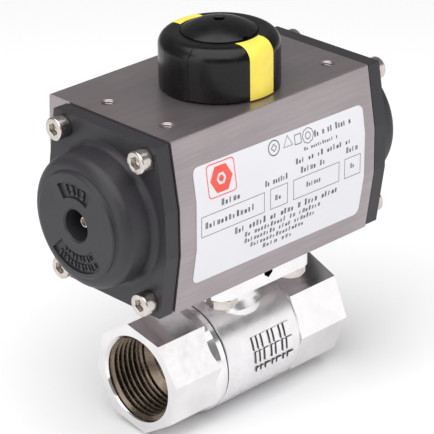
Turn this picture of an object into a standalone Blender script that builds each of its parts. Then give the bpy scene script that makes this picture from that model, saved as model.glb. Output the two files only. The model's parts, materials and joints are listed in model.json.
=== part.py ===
"""Quarter-turn pneumatic actuator, direct-mounted on a one-inch ball valve.

Metres, +Z up.  The origin is the centre of the ball: +X runs along the pipe and the
cylinder, +Z runs up the stem and the pinion, and -Y is the side with the rating plate.
The rest pose is the closed valve, with both pistons at their inner stops.
"""
import math

import bmesh
import bpy
from mathutils import Matrix, Vector

for old in list(bpy.data.objects):
    bpy.data.objects.remove(old)

# ---- driving dimensions -------------------------------------------------------------
GAP = 0.0003                 # clearance between pieces that touch

# actuator body: an extrusion along X with a bulged front and a thick back wall
BODY_BASE = 0.0381           # underside of the body above the pipe axis
BODY_HEIGHT = 0.0654
BODY_HALF_LENGTH = 0.0492
BODY_TOP = BODY_BASE + BODY_HEIGHT
BORE_Z = BODY_BASE + BODY_HEIGHT / 2
BORE_R = 0.0250
FRONT_EDGE_Y = 0.0265        # half-width at the top and bottom edges
FRONT_BULGE_Y = 0.0304       # half-width at the middle of the bulged side
BULGE_HALF_HEIGHT = 0.0087   # half-height of the upright middle facet
BACK_EDGE_Y = 0.0361
BACK_FACE_Y = 0.0369         # upright port face on the back
BACK_HALF_HEIGHT = 0.0160
TOP_HOLE_X, TOP_HOLE_Y = 0.0400, 0.0150      # 80 x 30 accessory pattern, M5
PORT_SPACING = 0.0240                        # two G1/4 ports
PORT_R = 0.0059
PORT_SCREW_X, PORT_SCREW_Z = 0.0160, 0.0120  # 32 x 24 pattern, M5

# end caps
GASKET_T = 0.0004
CAP_IN = 0.0500              # inner face of the cap's plate
CAP_OUT = 0.0558             # outer face of the cap's plate
CAP_INSET = 0.0004           # how far the cap's outline is inside the body's
DOME_RISE = 0.0145
DOME_R = 0.0250
DOME_FACE_R = 0.0195
DOME_STEP = 0.0014           # ledge round the dome's face
DOME_SHOULDER = 0.0042
DOME_FILLET = 0.0025
SPIGOT_R = BORE_R - 0.0004
RECESS_R, RECESS_DEPTH = 0.0058, 0.0100      # adjuster recess in the face
HOLLOW_IN_R, HOLLOW_OUT_R = 0.0100, 0.0205   # cored ring in the cap's back
HOLLOW_END = 0.0625
ADJUSTER_TIP, ADJUSTER_END = 0.0476, 0.0663
NUT_AF, NUT_H = 0.0080, 0.0027
CAP_SCREW_Y, CAP_SCREW_Z = 0.0210, 0.0269
M5_R, M5_HEAD_R, M5_HEAD_H = 0.0025, 0.00425, 0.0048
M5_LENGTH = 0.0180

# rack and pinion: module 1, 16 teeth, so a quarter turn moves a piston 4 pi mm
MODULE = 0.001
TEETH = 16
PITCH_R = MODULE * TEETH / 2
PRESSURE_ANGLE = math.radians(20)
BACKLASH = 0.00025           # taken off each tooth's thickness
RACK_ADDENDUM = 0.8 * MODULE
RACK_DEDENDUM = 1.25 * MODULE
RACK_HALF_HEIGHT = 0.0090
PISTON_IN, PISTON_OUT = 0.0205, 0.0343       # faces of the piston head at rest
PISTON_R = 0.0243
PISTON_DISH_R, PISTON_DISH = 0.0200, 0.0040  # annular dish in the outer face
BAND_GROOVE = (0.0229, 0.0295, 0.0328)       # guide band groove: radius and two ends
RING_GROOVE = (0.0218, 0.0240, 0.0274)       # O-ring groove
RACK_BACK_Y = 0.0190
RACK_END_X = -0.0168
PAD_HALF_WIDTH, PAD_OUTER_R = 0.0065, 0.0247 # acetal pad behind the rack

# pinion shaft and its bearings
LOWER_R, UPPER_R = 0.0110, 0.0090
LOWER_HOLE_R, UPPER_HOLE_R = 0.0133, 0.0113
SQUARE = 0.0092              # drive socket across flats
SHAFT_R, SHAFT_TOP = 0.0070, 0.1161          # shaft end inside the indicator
GEAR_HALF_HEIGHT = 0.0130

# position indicator
PUCK_BASE = 0.1041
PUCK_R = 0.0229
PUCK_RING_Z = PUCK_BASE + 0.0196
PUCK_SHOULDER = 0.0050
PLUG_R = 0.0137
PLUG_RISE = 0.0040
PLUG_DEPTH = 0.0026          # plug recess below the ring
PLUG_HOLE_R = 0.0019
BAND_HALF_WIDTH = 0.00575
BAND_DEPTH = 0.0020
BAND_INNER_R = 0.0150

# ball valve: G1 female ends on an octagon, 25 mm port
PIPE_HALF = 0.0445
THREAD_MINOR_R, THREAD_MAJOR_R = 0.01515, 0.01663
THREAD_DEPTH = 0.0180
PORT_BORE_R = 0.0125
OCTAGON_R = 0.0220           # far end; the screwed-in near end is a little smaller
NEAR_OCTAGON_R = 0.0216
BODY_R = 0.0217
BALL_R = 0.0185
CAVITY_R = 0.0192
JOINT_X = -0.0181            # where the body ends and the screwed-in collar starts
SEAT_R = 0.0175              # seat pocket: radius, and its two ends along the pipe
SEAT_IN, SEAT_OUT = 0.0095, 0.0178
COLLAR_SHOULDER = 0.0189     # collar face opposite the body's end
CHAMBER_R, CHAMBER_BASE = 0.0095, 0.0260     # stem packing chamber
STEM_FLANGE_R = 0.0080
PAD_HALF = 0.0240            # ISO 5211 F05 pad
PAD_TOP = BODY_BASE - GAP
PAD_BASE = 0.0315
PAD_BOLT = 0.050 / 2 / math.sqrt(2)
NECK_R = 0.0130
STEM_R = 0.0064
M6_R, M6_HEAD_AF, M6_HEAD_H = 0.0030, 0.0100, 0.0040

# rating plate: a sticker over the three front facets
PLATE_X = (-0.0417, 0.0436)
PLATE_Z = (0.0467, 0.0914)
PLATE_T = 0.0002

FINE, MEDIUM, COARSE = 28, 20, 12            # steps round large, middling and small pieces
TOOL_SPIN = math.radians(1.7)

# ---- collections and materials ----------------------------------------------------------
PARTS = bpy.data.collections.new("pneumatic_actuator_on_ball_valve")
CUTTERS = bpy.data.collections.new("cutters")
for group in (PARTS, CUTTERS):
    bpy.context.scene.collection.children.link(group)


def material(name, colour, roughness, metallic=0.0):
    made = bpy.data.materials.new(name)
    made.use_nodes = True
    shader = made.node_tree.nodes["Principled BSDF"]
    shader.inputs["Base Color"].default_value = (*colour, 1.0)
    shader.inputs["Roughness"].default_value = roughness
    shader.inputs["Metallic"].default_value = metallic
    return made


ANODISED = material("anodised_body", (0.25, 0.23, 0.22), 0.42, 0.8)
POWDER = material("powder_coat", (0.055, 0.056, 0.065), 0.55)
STAINLESS = material("stainless", (0.70, 0.68, 0.65), 0.28, 1.0)
STEEL = material("steel", (0.45, 0.45, 0.46), 0.35, 1.0)
BLACK_STEEL = material("black_steel", (0.04, 0.04, 0.04), 0.45, 0.6)
PLATED = material("plated_brass", (0.80, 0.79, 0.77), 0.15, 1.0)
CHROME = material("chrome_ball", (0.85, 0.85, 0.85), 0.06, 1.0)
ALLOY = material("die_cast_alloy", (0.60, 0.60, 0.61), 0.45, 0.9)
BLACK_PLASTIC = material("black_plastic", (0.012, 0.012, 0.013), 0.22)
YELLOW_PLASTIC = material("yellow_plastic", (0.85, 0.72, 0.05), 0.35)
PTFE = material("ptfe", (0.85, 0.84, 0.80), 0.6)
ACETAL = material("acetal", (0.80, 0.79, 0.74), 0.5)
RUBBER = material("nitrile", (0.015, 0.015, 0.015), 0.7)
VINYL = material("white_vinyl", (0.86, 0.86, 0.87), 0.4)


# ---- building blocks ------------------------------------------------------------------
def add(name, mesh, finish=None):
    """An object on its own: a part when it has a finish, a cutter when it has none."""
    obj = bpy.data.objects.new(name, mesh)
    if finish:
        PARTS.objects.link(obj)
        mesh.materials.clear()
        mesh.materials.append(finish)
    else:
        CUTTERS.objects.link(obj)
        obj.hide_render = True
        obj.display_type = "WIRE"
    return obj


AXES = {"Z": Matrix(), "X": Matrix.Rotation(math.pi / 2, 4, "Y"),
        "-X": Matrix.Rotation(-math.pi / 2, 4, "Y"), "Y": Matrix.Rotation(-math.pi / 2, 4, "X")}


def turned(name, profile, finish=None, axis="Z", centre=(0, 0, 0), steps=MEDIUM, closed=True):
    """Screw a profile of (radius, height) points, listed down the outer side.

    A closed profile is a ring; an open one starts and ends on the axis.  Each Boolean tool is
    turned a little about its axis, so that its facets never line up with another piece's.
    """
    spin = 0.0 if finish else TOOL_SPIN * (1 + len(CUTTERS.objects) % 4)
    mesh = bpy.data.meshes.new(name)
    count = len(profile)
    edges = [(i, i + 1) for i in range(count - 1)]
    if closed:
        edges.append((count - 1, 0))
    mesh.from_pydata([(radius, 0, height) for radius, height in profile], edges, [])
    obj = add(name, mesh, finish)
    obj.matrix_world = Matrix.Translation(centre) @ AXES[axis] @ Matrix.Rotation(spin, 4, "Z")
    screw = obj.modifiers.new("turn", "SCREW")
    screw.steps = screw.render_steps = steps
    screw.use_merge_vertices = True
    screw.merge_threshold = 0.00001
    screw.use_smooth_shade = False
    return obj


def rounded(corners, radius, steps=3):
    """A polygon's corners, each replaced by an arc."""
    points = []
    count = len(corners)
    for i, corner in enumerate(corners):
        corner = Vector(corner)
        before = (Vector(corners[i - 1]) - corner).normalized()
        after = (Vector(corners[(i + 1) % count]) - corner).normalized()
        half = before.angle(after) / 2
        reach = radius / math.tan(half)
        centre = corner + (before + after).normalized() * radius / math.sin(half)
        start = (corner + before * reach - centre).normalized()
        end = (corner + after * reach - centre).normalized()
        for k in range(steps + 1):
            points.append(centre + radius * start.slerp(end, k / steps))
    return points


def arc(radius, start, end, steps, centre=(0, 0)):
    """Points on an arc, angles in degrees."""
    angles = [math.radians(start + (end - start) * k / steps) for k in range(steps + 1)]
    return [(centre[0] + radius * math.cos(a), centre[1] + radius * math.sin(a)) for a in angles]


def plate(name, outlines, low, high, finish=None, plane="XY", holes=()):
    """A flat outline with holes, extruded from low to high across its plane."""
    curve = bpy.data.curves.new(name, "CURVE")
    curve.dimensions = "2D"
    curve.fill_mode = "BOTH"
    curve.extrude = (high - low) / 2
    for outline in (outlines, *holes):
        spline = curve.splines.new("POLY")
        spline.points.add(len(outline) - 1)
        for point, (u, v) in zip(spline.points, outline):
            point.co = (u, v, 0, 1)
        spline.use_cyclic_u = True
    source = bpy.data.objects.new(name + "_outline", curve)
    middle = Matrix.Translation((0, 0, (low + high) / 2))
    turn = {"XY": Matrix(),
            "YZ": Matrix(((0, 0, 1, 0), (1, 0, 0, 0), (0, 1, 0, 0), (0, 0, 0, 1)))}[plane]
    PARTS.objects.link(source)
    bpy.context.view_layer.update()
    evaluated = source.evaluated_get(bpy.context.evaluated_depsgraph_get())
    mesh = bpy.data.meshes.new_from_object(evaluated)
    bpy.data.objects.remove(source)
    shape = bmesh.new()
    shape.from_mesh(mesh)
    bmesh.ops.remove_doubles(shape, verts=shape.verts, dist=0.000001)
    bmesh.ops.recalc_face_normals(shape, faces=shape.faces)
    shape.transform(turn @ middle)
    shape.to_mesh(mesh)
    shape.free()
    return add(name, mesh, finish)


def rods(name, centres, radius, low, high, finish=None, axis="Z", steps=COARSE, spin=0.0):
    """Round or many-sided rods through the centres, from low to high along the axis."""
    shape = bmesh.new()
    for centre in centres:
        place = (Matrix.Translation(centre) @ AXES[axis]
                 @ Matrix.Translation((0, 0, (low + high) / 2)) @ Matrix.Rotation(spin, 4, "Z"))
        bmesh.ops.create_cone(shape, cap_ends=True, segments=steps, radius1=radius, radius2=radius,
                              depth=abs(high - low), matrix=place)
    mesh = bpy.data.meshes.new(name)
    shape.to_mesh(mesh)
    shape.free()
    return add(name, mesh, finish)


def boxes(name, spans, finish=None):
    """Boxes, each given by its lowest and highest corners."""
    shape = bmesh.new()
    for low, high in spans:
        low, high = Vector(low), Vector(high)
        size = Matrix.Diagonal((*(high - low), 1))
        bmesh.ops.create_cube(shape, size=1, matrix=Matrix.Translation((low + high) / 2) @ size)
    mesh = bpy.data.meshes.new(name)
    shape.to_mesh(mesh)
    shape.free()
    return add(name, mesh, finish)


def combine(obj, operation, *tools):
    for tool in tools:
        step = obj.modifiers.new(tool.name, "BOOLEAN")
        step.operation = operation
        step.object = tool
    return obj


def cut(obj, *tools):
    return combine(obj, "DIFFERENCE", *tools)


def join(obj, *tools):
    return combine(obj, "UNION", *tools)


def ring(name, inner, outer, low, high, finish, axis="Z", centre=(0, 0, 0), steps=MEDIUM):
    """A plain washer or sleeve."""
    profile = [(outer, high), (outer, low), (inner, low), (inner, high)]
    return turned(name, profile, finish, axis, centre, steps)


def o_ring(name, major, minor, at, finish, axis="Z", centre=(0, 0, 0)):
    profile = [(major + r, at + h) for r, h in arc(minor, 90, -198, 4)]
    return turned(name, profile, finish, axis, centre, MEDIUM)


def four(x, y, z=0.0):
    return [(sx * x, sy * y, z) for sx in (-1, 1) for sy in (-1, 1)]


# ---- actuator body ------------------------------------------------------------------------
def body_outline(inset=0.0, symmetric=False):
    """Cross-section in Y and Z: three front facets, and a deeper back unless symmetric."""
    half = BODY_HEIGHT / 2 - inset
    edge, bulge, mid = FRONT_EDGE_Y - inset, FRONT_BULGE_Y - inset, BULGE_HALF_HEIGHT
    front = [(-edge, half), (-bulge, mid), (-bulge, -mid), (-edge, -half)]
    if symmetric:
        back = [(-y, z) for y, z in reversed(front)]
    else:
        low, high = -BACK_HALF_HEIGHT, BACK_HALF_HEIGHT
        back = [(BACK_EDGE_Y, -half), (BACK_FACE_Y, low), (BACK_FACE_Y, high), (BACK_EDGE_Y, half)]
    return [(y, z + BORE_Z) for y, z in rounded(front + back, 0.0006, 2)]


def build_body():
    bore = arc(BORE_R, 0, 352, 44, (0, BORE_Z))
    body = plate("actuator_body", body_outline(), -BODY_HALF_LENGTH, BODY_HALF_LENGTH,
                 ANODISED, "YZ", holes=[bore])
    end_holes = []
    for side in (-1, 1):
        end_holes += [(side * BODY_HALF_LENGTH, y, BORE_Z + z) for y, z, _ in
                      four(CAP_SCREW_Y, CAP_SCREW_Z)]
    back = [(side * PORT_SPACING / 2, BACK_FACE_Y, BORE_Z) for side in (-1, 1)]
    back_screws = [(x, BACK_FACE_Y, BORE_Z + z) for x, z, _ in four(PORT_SCREW_X, PORT_SCREW_Z)]
    cut(body,
        rods("body_end_holes", end_holes, M5_R + GAP, -0.0150, 0.0150, axis="X", steps=10),
        rods("body_top_holes", four(TOP_HOLE_X, TOP_HOLE_Y, BODY_TOP), 0.0021, -0.008, 0.001,
             steps=10),
        rods("body_base_holes", four(PAD_BOLT, PAD_BOLT, BODY_BASE), M6_R + GAP, -0.001, 0.0105,
             steps=10),
        rods("body_lower_bearing_hole", [(0, 0, 0)], LOWER_HOLE_R, BODY_BASE - 0.001, BORE_Z,
             steps=FINE),
        rods("body_upper_bearing_hole", [(0, 0, 0)], UPPER_HOLE_R, BORE_Z, BODY_TOP + 0.001,
             steps=FINE),
        rods("body_ports", back, PORT_R, -0.0080, 0.001, axis="Y"),
        rods("body_port_passages", back, 0.0020, -0.0200, 0.0, axis="Y", steps=8),
        rods("body_port_screws", back_screws, 0.0021, -0.0070, 0.001, axis="Y", steps=10))


def build_rating_plate():
    """A thin strip that follows the upper, middle and lower facets of the front."""
    low, high = PLATE_Z[0] - BORE_Z, PLATE_Z[1] - BORE_Z
    slope = (FRONT_BULGE_Y - FRONT_EDGE_Y) / (BODY_HEIGHT / 2 - BULGE_HALF_HEIGHT)

    def facets(lift):
        y = FRONT_BULGE_Y + lift
        ends = [y - slope * (abs(z) - BULGE_HALF_HEIGHT) for z in (high, low)]
        return [(-ends[0], high + BORE_Z), (-y, BULGE_HALF_HEIGHT + BORE_Z),
                (-y, BORE_Z - BULGE_HALF_HEIGHT), (-ends[1], low + BORE_Z)]

    strip = facets(GAP + PLATE_T) + facets(GAP)[::-1]
    plate("rating_plate", strip, *PLATE_X, VINYL, "YZ")


# ---- end caps ------------------------------------------------------------------------------
def dome_profile():
    """From the adjuster recess out over the stepped face, down the wall, to the root fillet."""
    face, root = CAP_OUT + DOME_RISE, CAP_OUT - 0.001
    ledge = face - DOME_STEP
    wall_r, root_r = DOME_R - 0.0004, DOME_R + DOME_FILLET + 0.0001
    crown = arc(DOME_SHOULDER, 90, 0, 3, (wall_r - DOME_SHOULDER, ledge - DOME_SHOULDER))
    fillet = arc(DOME_FILLET, 180, 270, 2, (root_r, CAP_OUT + DOME_FILLET))
    return ([(0, face), (DOME_FACE_R, face), (DOME_FACE_R + 0.0006, ledge)] + crown + fillet
            + [(root_r, root), (0, root)])


def build_end_cap(side, axis):
    name = "near" if side < 0 else "far"
    centre = (0, 0, BORE_Z)
    low, high = sorted((side * CAP_IN, side * CAP_OUT))
    cap = plate(f"end_cap_{name}", body_outline(CAP_INSET, True), low, high, POWDER, "YZ")
    join(cap,
         turned(f"cap_dome_{name}", dome_profile(), axis=axis, centre=centre, steps=FINE,
                closed=False),
         rods(f"cap_spigot_{name}", [centre], SPIGOT_R, CAP_IN - 0.0021, CAP_IN + 0.001,
              axis=axis, steps=FINE))
    face = CAP_OUT + DOME_RISE
    floor, thread_r, inside = face - RECESS_DEPTH, M5_R + GAP, CAP_IN - 0.005
    recess = [(0, face + 0.001), (RECESS_R + 0.002, face + 0.001), (RECESS_R, face - 0.001),
              (RECESS_R, floor), (thread_r, floor), (thread_r, inside), (0, inside)]
    hollow = [(HOLLOW_OUT_R, HOLLOW_END), (HOLLOW_OUT_R, inside), (HOLLOW_IN_R, inside),
              (HOLLOW_IN_R, HOLLOW_END)]
    screws = [(0, y, BORE_Z + z) for y, z, _ in four(CAP_SCREW_Y, CAP_SCREW_Z)]
    cut(cap,
        turned(f"cap_recess_{name}", recess, axis=axis, centre=centre, closed=False),
        turned(f"cap_hollow_{name}", hollow, axis=axis, centre=centre, steps=FINE),
        rods(f"cap_screw_holes_{name}", screws, M5_R + GAP, CAP_IN - 0.001, CAP_OUT + 0.001,
             axis=axis, steps=10))

    hole = arc(BORE_R, 0, 345, 23, (0, BORE_Z))
    screw_holes = [arc(M5_R + GAP, 0, 315, 7, (y, z)) for _, y, z in screws]
    start = side * (BODY_HALF_LENGTH + 0.0002)
    low, high = sorted((start, start + side * GASKET_T))
    plate(f"cap_gasket_{name}", body_outline(0.0008, True), low, high, RUBBER, "YZ",
          holes=[hole, *screw_holes])
    for number, (_, y, z) in enumerate(screws, 1):
        build_cap_screw(f"cap_screw_{name}_{number}", axis, (0, y, z))

    adjuster = rods(f"stroke_adjuster_{name}", [centre], M5_R, ADJUSTER_TIP, ADJUSTER_END,
                    STAINLESS, axis, 12)
    cut(adjuster, rods(f"adjuster_socket_{name}", [centre], 0.0015, ADJUSTER_END - 0.0020, face,
                       axis=axis, steps=6))
    nut = rods(f"adjuster_nut_{name}", [centre], NUT_AF / math.sqrt(3), floor + GAP,
               floor + GAP + NUT_H, BLACK_STEEL, axis, 6)
    cut(nut, rods(f"adjuster_nut_bore_{name}", [centre], thread_r, CAP_OUT, face, axis=axis,
                  steps=12))


def build_cap_screw(name, axis, centre):
    """M5 socket head cap screw through the cap into the body's end."""
    seat = CAP_OUT + 0.0002
    top = seat + M5_HEAD_H
    tip, chamfer = seat - M5_LENGTH, 0.0004
    profile = [(0, top), (M5_HEAD_R - chamfer, top), (M5_HEAD_R, top - chamfer),
               (M5_HEAD_R, seat), (M5_R, seat), (M5_R, tip), (0, tip)]
    screw = turned(name, profile, STAINLESS, axis, centre, 12, closed=False)
    cut(screw, rods(name + "_socket", [centre], 0.0040 / math.sqrt(3), top - 0.0025, top + 0.001,
                    axis=axis, steps=6))


# ---- rack and pinion -------------------------------------------------------------------------
def gear_outline():
    """Involute teeth, with one tooth centred on +X and so one on each side towards +Y and -Y."""
    base = PITCH_R * math.cos(PRESSURE_ANGLE)
    tip, root = PITCH_R + MODULE, PITCH_R - 1.1 * MODULE

    def roll(radius):
        angle = math.acos(min(1.0, base / radius))
        return math.tan(angle) - angle

    half = (math.pi * MODULE / 2 - BACKLASH) / 2 / PITCH_R + roll(PITCH_R)
    radii = [base + (tip - base) * k / 3 for k in range(4)]
    flank = [(root, half)] + [(radius, half - roll(radius)) for radius in radii]
    tooth = [(r, -a) for r, a in flank] + [(r, a) for r, a in reversed(flank)]
    points = []
    for k in range(TEETH):
        turn = 2 * math.pi * k / TEETH
        points += [(r * math.cos(a + turn), r * math.sin(a + turn)) for r, a in tooth]
    return points


def rack_outline():
    """The rack arm beside the pinion on the -Y side, teeth towards +Y, at the rest pose.

    A pinion tooth points at the rack at rest, so the rack has a space there.
    """
    pitch = math.pi * MODULE
    half = (pitch / 2 - BACKLASH) / 2
    lean = math.tan(PRESSURE_ANGLE)
    tip, root = -PITCH_R + RACK_ADDENDUM, -PITCH_R - RACK_DEDENDUM
    points = [(RACK_END_X, root)]
    for k in range(-5, 2):
        x = (k + 0.5) * pitch
        wide, narrow = half + RACK_DEDENDUM * lean, half - RACK_ADDENDUM * lean
        points += [(x - wide, root), (x - narrow, tip), (x + narrow, tip), (x + wide, root)]
    joint = PISTON_IN + 0.002
    return points + [(joint, root), (joint, -RACK_BACK_Y), (RACK_END_X, -RACK_BACK_Y)]


def build_piston(name, half_turn):
    """Piston head and rack arm, its ring, guide band and back pad.

    The far piston's arm is on the -Y side; the near piston is the same set turned half round.
    """
    centre = (0, 0, BORE_Z)
    piston = plate(f"piston_{name}", rack_outline(), BORE_Z - RACK_HALF_HEIGHT,
                   BORE_Z + RACK_HALF_HEIGHT, ALLOY)
    dish, boss_r = PISTON_OUT - PISTON_DISH, 0.0080
    profile = [(0, PISTON_OUT), (boss_r, PISTON_OUT), (boss_r, dish), (PISTON_DISH_R, dish),
               (PISTON_DISH_R, PISTON_OUT), (PISTON_R, PISTON_OUT)]
    for groove_r, start, end in (BAND_GROOVE, RING_GROOVE):
        profile += [(PISTON_R, end), (groove_r, end), (groove_r, start), (PISTON_R, start)]
    profile += [(PISTON_R, PISTON_IN), (0, PISTON_IN)]
    head = turned(f"piston_head_{name}", profile, axis="X", centre=centre, steps=FINE,
                  closed=False)
    join(piston, head)
    seal = o_ring(f"piston_o_ring_{name}", 0.02355, 0.00120, 0.0257, RUBBER, "X", centre)
    band = ring(f"piston_guide_band_{name}", 0.0234, 0.0247, 0.0298, 0.0325, ACETAL, "X", centre,
                FINE)
    span = math.degrees(math.asin(PAD_HALF_WIDTH / PAD_OUTER_R))
    inner = -RACK_BACK_Y - GAP
    section = ([(inner, -PAD_HALF_WIDTH), (inner, PAD_HALF_WIDTH)]
               + arc(PAD_OUTER_R, 180 - span, 180 + span, 4))
    pad = plate(f"piston_back_pad_{name}", [(y, z + BORE_Z) for y, z in section], -0.0150,
                0.0020, ACETAL, "YZ")
    if half_turn:
        for obj in (piston, head, seal, band, pad):
            obj.matrix_world = Matrix.Rotation(math.pi, 4, "Z") @ obj.matrix_world


def build_pinion():
    gear_low, gear_high = BORE_Z - GEAR_HALF_HEIGHT, BORE_Z + GEAR_HALF_HEIGHT
    pinion = plate("pinion", gear_outline(), gear_low, gear_high, STEEL)
    collar, foot = 0.0067, BODY_BASE + GAP
    clip_low, clip_high = 0.1050, 0.1063
    lower = [(0, gear_low + 0.001), (collar, gear_low + 0.001), (collar, gear_low - 0.002),
             (LOWER_R, gear_low - 0.004), (LOWER_R, foot), (0, foot)]
    upper = [(0, SHAFT_TOP), (SHAFT_R, SHAFT_TOP), (SHAFT_R, 0.1070), (UPPER_R, 0.1070),
             (UPPER_R, clip_high), (0.0082, clip_high), (0.0082, clip_low), (UPPER_R, clip_low),
             (UPPER_R, gear_high + 0.004), (collar, gear_high + 0.002),
             (collar, gear_high - 0.001), (0, gear_high - 0.001)]
    join(pinion, turned("pinion_lower_journal", lower, closed=False),
         turned("pinion_upper_journal", upper, closed=False))
    half = SQUARE / 2
    cut(pinion,
        boxes("pinion_drive_socket", [((-half, -half, 0.0300), (half, half, 0.0486))]),
        rods("pinion_screw_hole", [(0, 0, 0)], 0.0027, 0.1040, 0.1200, steps=12))
    ring("lower_bearing", LOWER_R + GAP, LOWER_HOLE_R - GAP, 0.0385, 0.0421, ACETAL)
    ring("upper_bearing", UPPER_R + GAP, UPPER_HOLE_R - GAP, 0.0995, 0.1032, ACETAL)
    o_ring("pinion_o_ring_lower", 0.01215, 0.00085, 0.0438, RUBBER)
    o_ring("pinion_o_ring_upper", 0.01015, 0.00085, 0.0978, RUBBER)
    ring("thrust_washer", UPPER_R + GAP, 0.0130, BODY_TOP + GAP, 0.1047, ACETAL)
    clip = arc(0.0115, 25, 335, 14) + arc(0.0085, 335, 25, 14)
    plate("retaining_ring", clip, 0.1052, 0.1061, STEEL)


# ---- position indicator ------------------------------------------------------------------------
def puck_skin(inward=0.0):
    """Outer skin of the puck, from the flat ring over the shoulder and down the wall."""
    shoulder = PUCK_SHOULDER - inward
    centre = (PUCK_R - PUCK_SHOULDER, PUCK_RING_Z - PUCK_SHOULDER)
    return arc(shoulder, 90, 0, 4, centre)


def band_solid(name, angle, grow, finish=None):
    """A strip of the puck's skin: over the ring, the shoulder and the wall, at one angle."""
    inner = puck_skin(BAND_DEPTH + grow)
    skin = puck_skin(-0.002 if finish is None else 0.0)
    low = PUCK_BASE + (0.0 if finish else -0.001)
    inner_r = BAND_INNER_R - grow
    profile = ([(inner_r, skin[0][1])] + skin + [(skin[-1][0], low), (inner[-1][0], low)]
               + inner[::-1] + [(inner_r, inner[0][1])])
    band = turned(name, profile, finish, steps=48)
    half = BAND_HALF_WIDTH + grow
    keep = boxes(name + "_width", [((0.010, -half, 0.10), (0.030, half, 0.13))])
    keep.rotation_euler = (0, 0, angle)
    return combine(band, "INTERSECT", keep)


def build_indicator():
    base, ring_z = PUCK_BASE, PUCK_RING_Z
    skin = puck_skin()
    plug_floor = ring_z - PLUG_DEPTH
    # the shell, its hub on the pinion, the screw's web and the plug's recess, as one profile
    profile = ([(PLUG_R + GAP, ring_z)] + skin
               + [(PUCK_R, base), (PUCK_R - 0.0048, base), (PUCK_R - 0.0048, ring_z - 0.0056),
                  (0.0155, ring_z - 0.0056), (0.0155, base + 0.0040), (0.0142, base + 0.0028),
                  (0.0142, base), (0.0135, base), (0.0135, base + 0.0032), (0.0073, base + 0.0032),
                  (0.0073, 0.1164), (0.0028, 0.1164), (0.0028, ring_z - 0.0045),
                  (0.0050, ring_z - 0.0045), (0.0050, plug_floor), (PLUG_R + GAP, plug_floor)])
    puck = turned("indicator_cap", profile, BLACK_PLASTIC, steps=MEDIUM)
    bands = (("yellow_front", -90, YELLOW_PLASTIC), ("yellow_back", 90, YELLOW_PLASTIC),
             ("black_near", 180, BLACK_PLASTIC), ("black_far", 0, BLACK_PLASTIC))
    for name, angle, finish in bands:
        turn = math.radians(angle)
        cut(puck, band_solid(f"slot_{name}", turn, GAP))
        band_solid(f"indicator_insert_{name}", turn, 0.0, finish)

    sphere = (PLUG_R ** 2 + PLUG_RISE ** 2) / 2 / PLUG_RISE
    top = ring_z + 0.0003
    reach = math.degrees(math.asin(PLUG_R / sphere))
    hole_at = math.degrees(math.asin(PLUG_HOLE_R / sphere))
    crown = arc(sphere, 90 - hole_at, 90 - reach, 4, (0, top + PLUG_RISE - sphere))
    plug = turned("indicator_plug", [(0, crown[0][1] - 0.0030), (PLUG_HOLE_R, crown[0][1] - 0.0030)]
                  + crown + [(PLUG_R, plug_floor + GAP), (0, plug_floor + GAP)],
                  BLACK_PLASTIC, closed=False)
    cut(plug, boxes("plug_pry_notch", [((-0.0012, -0.0150, ring_z - 0.001),
                                        (0.0012, -0.0129, ring_z + 0.003))]))
    head_low, head_high = ring_z - 0.0043, plug_floor - 0.0002
    turned("indicator_screw", [(0, head_high), (0.0042, head_high), (0.0044, head_low),
                               (0.0024, head_low), (0.0024, 0.1060), (0, 0.1060)],
           STAINLESS, steps=16, closed=False)


# ---- ball valve ----------------------------------------------------------------------------------
def pipe_end_cutter(name, axis):
    """Threaded mouth, tapping and port of one pipe end, along the axis from the mouth inwards."""
    mouth = PIPE_HALF + 0.001
    chamfer = THREAD_MAJOR_R - THREAD_MINOR_R
    profile = [(0, mouth), (THREAD_MAJOR_R + 0.001, mouth),
               (THREAD_MINOR_R, PIPE_HALF - chamfer), (THREAD_MINOR_R, PIPE_HALF - THREAD_DEPTH),
               (PORT_BORE_R, PIPE_HALF - THREAD_DEPTH - 0.002), (PORT_BORE_R, 0.0100), (0, 0.0100)]
    return turned(name, profile, axis=axis, steps=FINE, closed=False)


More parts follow.
